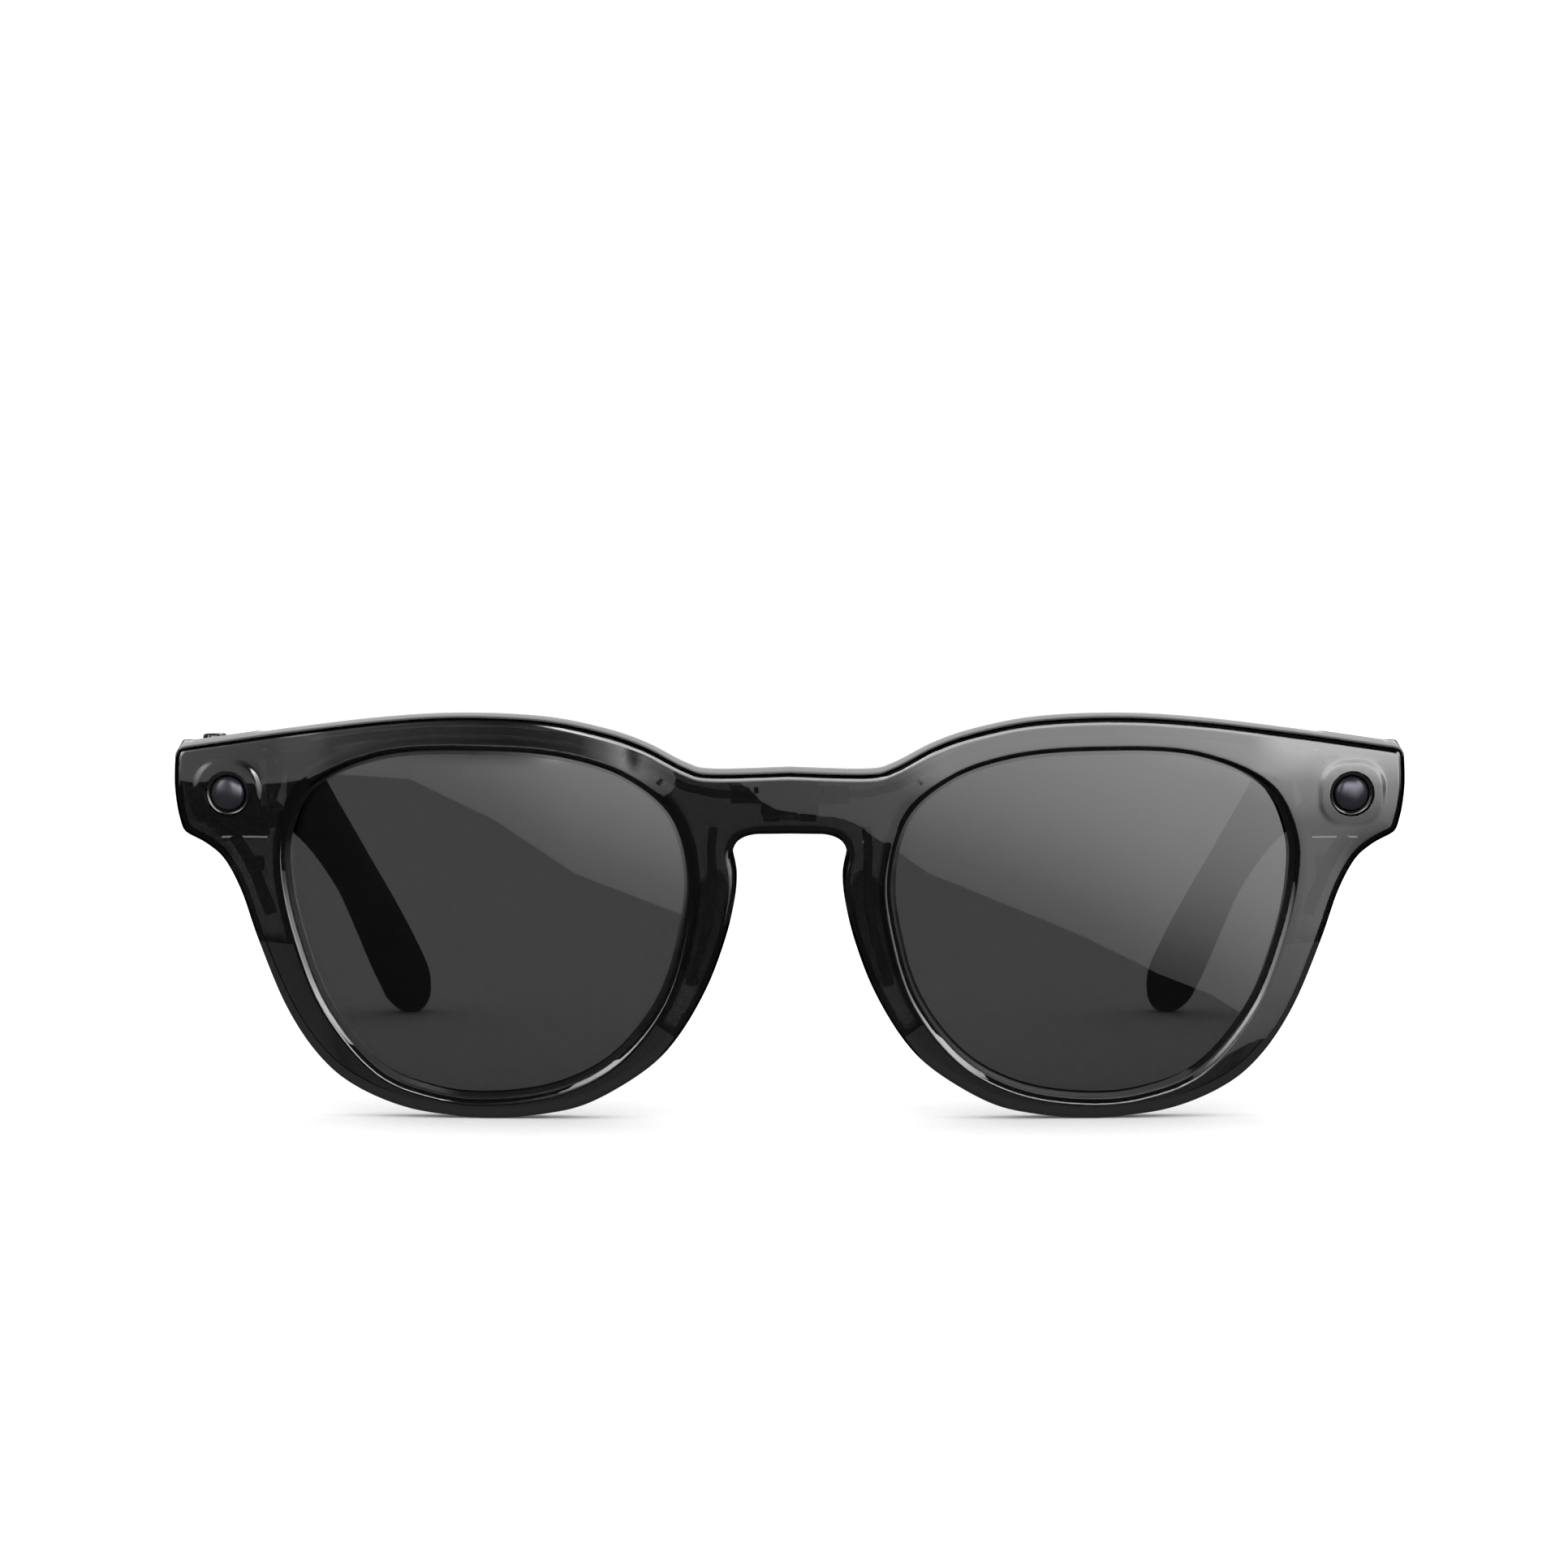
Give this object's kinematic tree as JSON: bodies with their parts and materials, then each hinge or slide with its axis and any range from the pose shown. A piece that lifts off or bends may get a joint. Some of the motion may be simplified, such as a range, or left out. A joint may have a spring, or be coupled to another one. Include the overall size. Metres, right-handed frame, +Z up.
{
  "type": "smart glasses",
  "caption": "Sunglasses with a translucent front, a camera and a light in the end pieces, and folding temples that hold the electronics.",
  "frame": {"origin": "on the table, under the middle of the object's box, standing open on both rims and both temple tips", "axes": "+Z up; the front faces -Y and the temples run towards +Y; +X is the wearer's left"},
  "size_m": [0.1506, 0.1496, 0.0501],
  "materials": {
    "smoke_shell": "polished translucent smoke grey",
    "lens_tint": "polished dark grey sun lens",
    "gloss_black": "polished",
    "satin_black": "satin",
    "dark_glass": "coated dark glass",
    "light_pipe": "frosted",
    "steel": "plain steel",
    "gold": "gold plated",
    "circuit": "green solder mask",
    "flex_foil": "dark polyimide foil",
    "foil_cell": "foil",
    "clear_pad": "translucent silicone"
  },
  "bodies": {
    "front": {"front_shell": "smoke_shell", "rear_cover": "smoke_shell", "bridge_plate": "steel", "front_flex": "flex_foil", "bridge_mic": "foil_cell", "lens_left": "lens_tint", "nose_pad_left": "clear_pad", "charge_contact_left": "gold", "side_antenna_left": "flex_foil", "nose_antenna_left": "flex_foil", "hinge_bracket_left": "steel", "hinge_pin_left": "steel", "bracket_screw_lower_left": "steel", "bracket_screw_upper_left": "steel", "lens_right": "lens_tint", "nose_pad_right": "clear_pad", "charge_contact_right": "gold", "side_antenna_right": "flex_foil", "nose_antenna_right": "flex_foil", "hinge_bracket_right": "steel", "hinge_pin_right": "steel", "bracket_screw_lower_right": "steel", "bracket_screw_upper_right": "steel", "camera_bezel": "gloss_black", "camera_glass": "dark_glass", "camera_module": "satin_black", "light_bezel": "gloss_black", "light_glass": "dark_glass", "light_ring": "light_pipe", "light_board": "circuit"},
    "temple_left": {"temple_shell_left": "gloss_black", "temple_cover_left": "satin_black", "hinge_arm_left": "steel", "arm_screw_lower_left": "steel", "arm_screw_upper_left": "steel", "speaker_left": "satin_black", "speaker_grille_left": "steel", "tip_core_left": "steel", "temple_mic_left": "foil_cell", "temple_flex_left": "flex_foil", "battery": "foil_cell", "switch_board": "circuit"},
    "temple_right": {"temple_shell_right": "gloss_black", "temple_cover_right": "satin_black", "hinge_arm_right": "steel", "arm_screw_lower_right": "steel", "arm_screw_upper_right": "steel", "speaker_right": "satin_black", "speaker_grille_right": "steel", "tip_core_right": "steel", "temple_mic_right": "foil_cell", "temple_flex_right": "flex_foil", "main_board": "circuit", "shield_can": "steel", "touch_strip": "flex_foil", "button_switch": "steel"},
    "capture_button": {"capture_button": "gloss_black"},
    "power_switch": {"power_slider": "gloss_black"}
  },
  "joints": [
    {"name": "left_temple_fold", "type": "hinge", "parent": "front", "child": "temple_left", "pos_m": [0.0656, -0.05849, 0.0411], "axis": [0, 0.0436, 0.999], "range_deg": [0, 84]},
    {"name": "right_temple_fold", "type": "hinge", "parent": "front", "child": "temple_right", "pos_m": [-0.0656, -0.05849, 0.0411], "axis": [0, -0.0436, -0.999], "range_deg": [0, 70]},
    {"name": "capture_button_press", "type": "slide", "parent": "temple_right", "child": "capture_button", "axis": [0, -0.0436, -0.999], "range_m": [0, 0.0005], "stiffness_N_per_m": 1000},
    {"name": "power_switch_slide", "type": "slide", "parent": "temple_left", "child": "power_switch", "axis": [0, 0.999, -0.0436], "range_m": [0, 0.0022]}
  ]
}
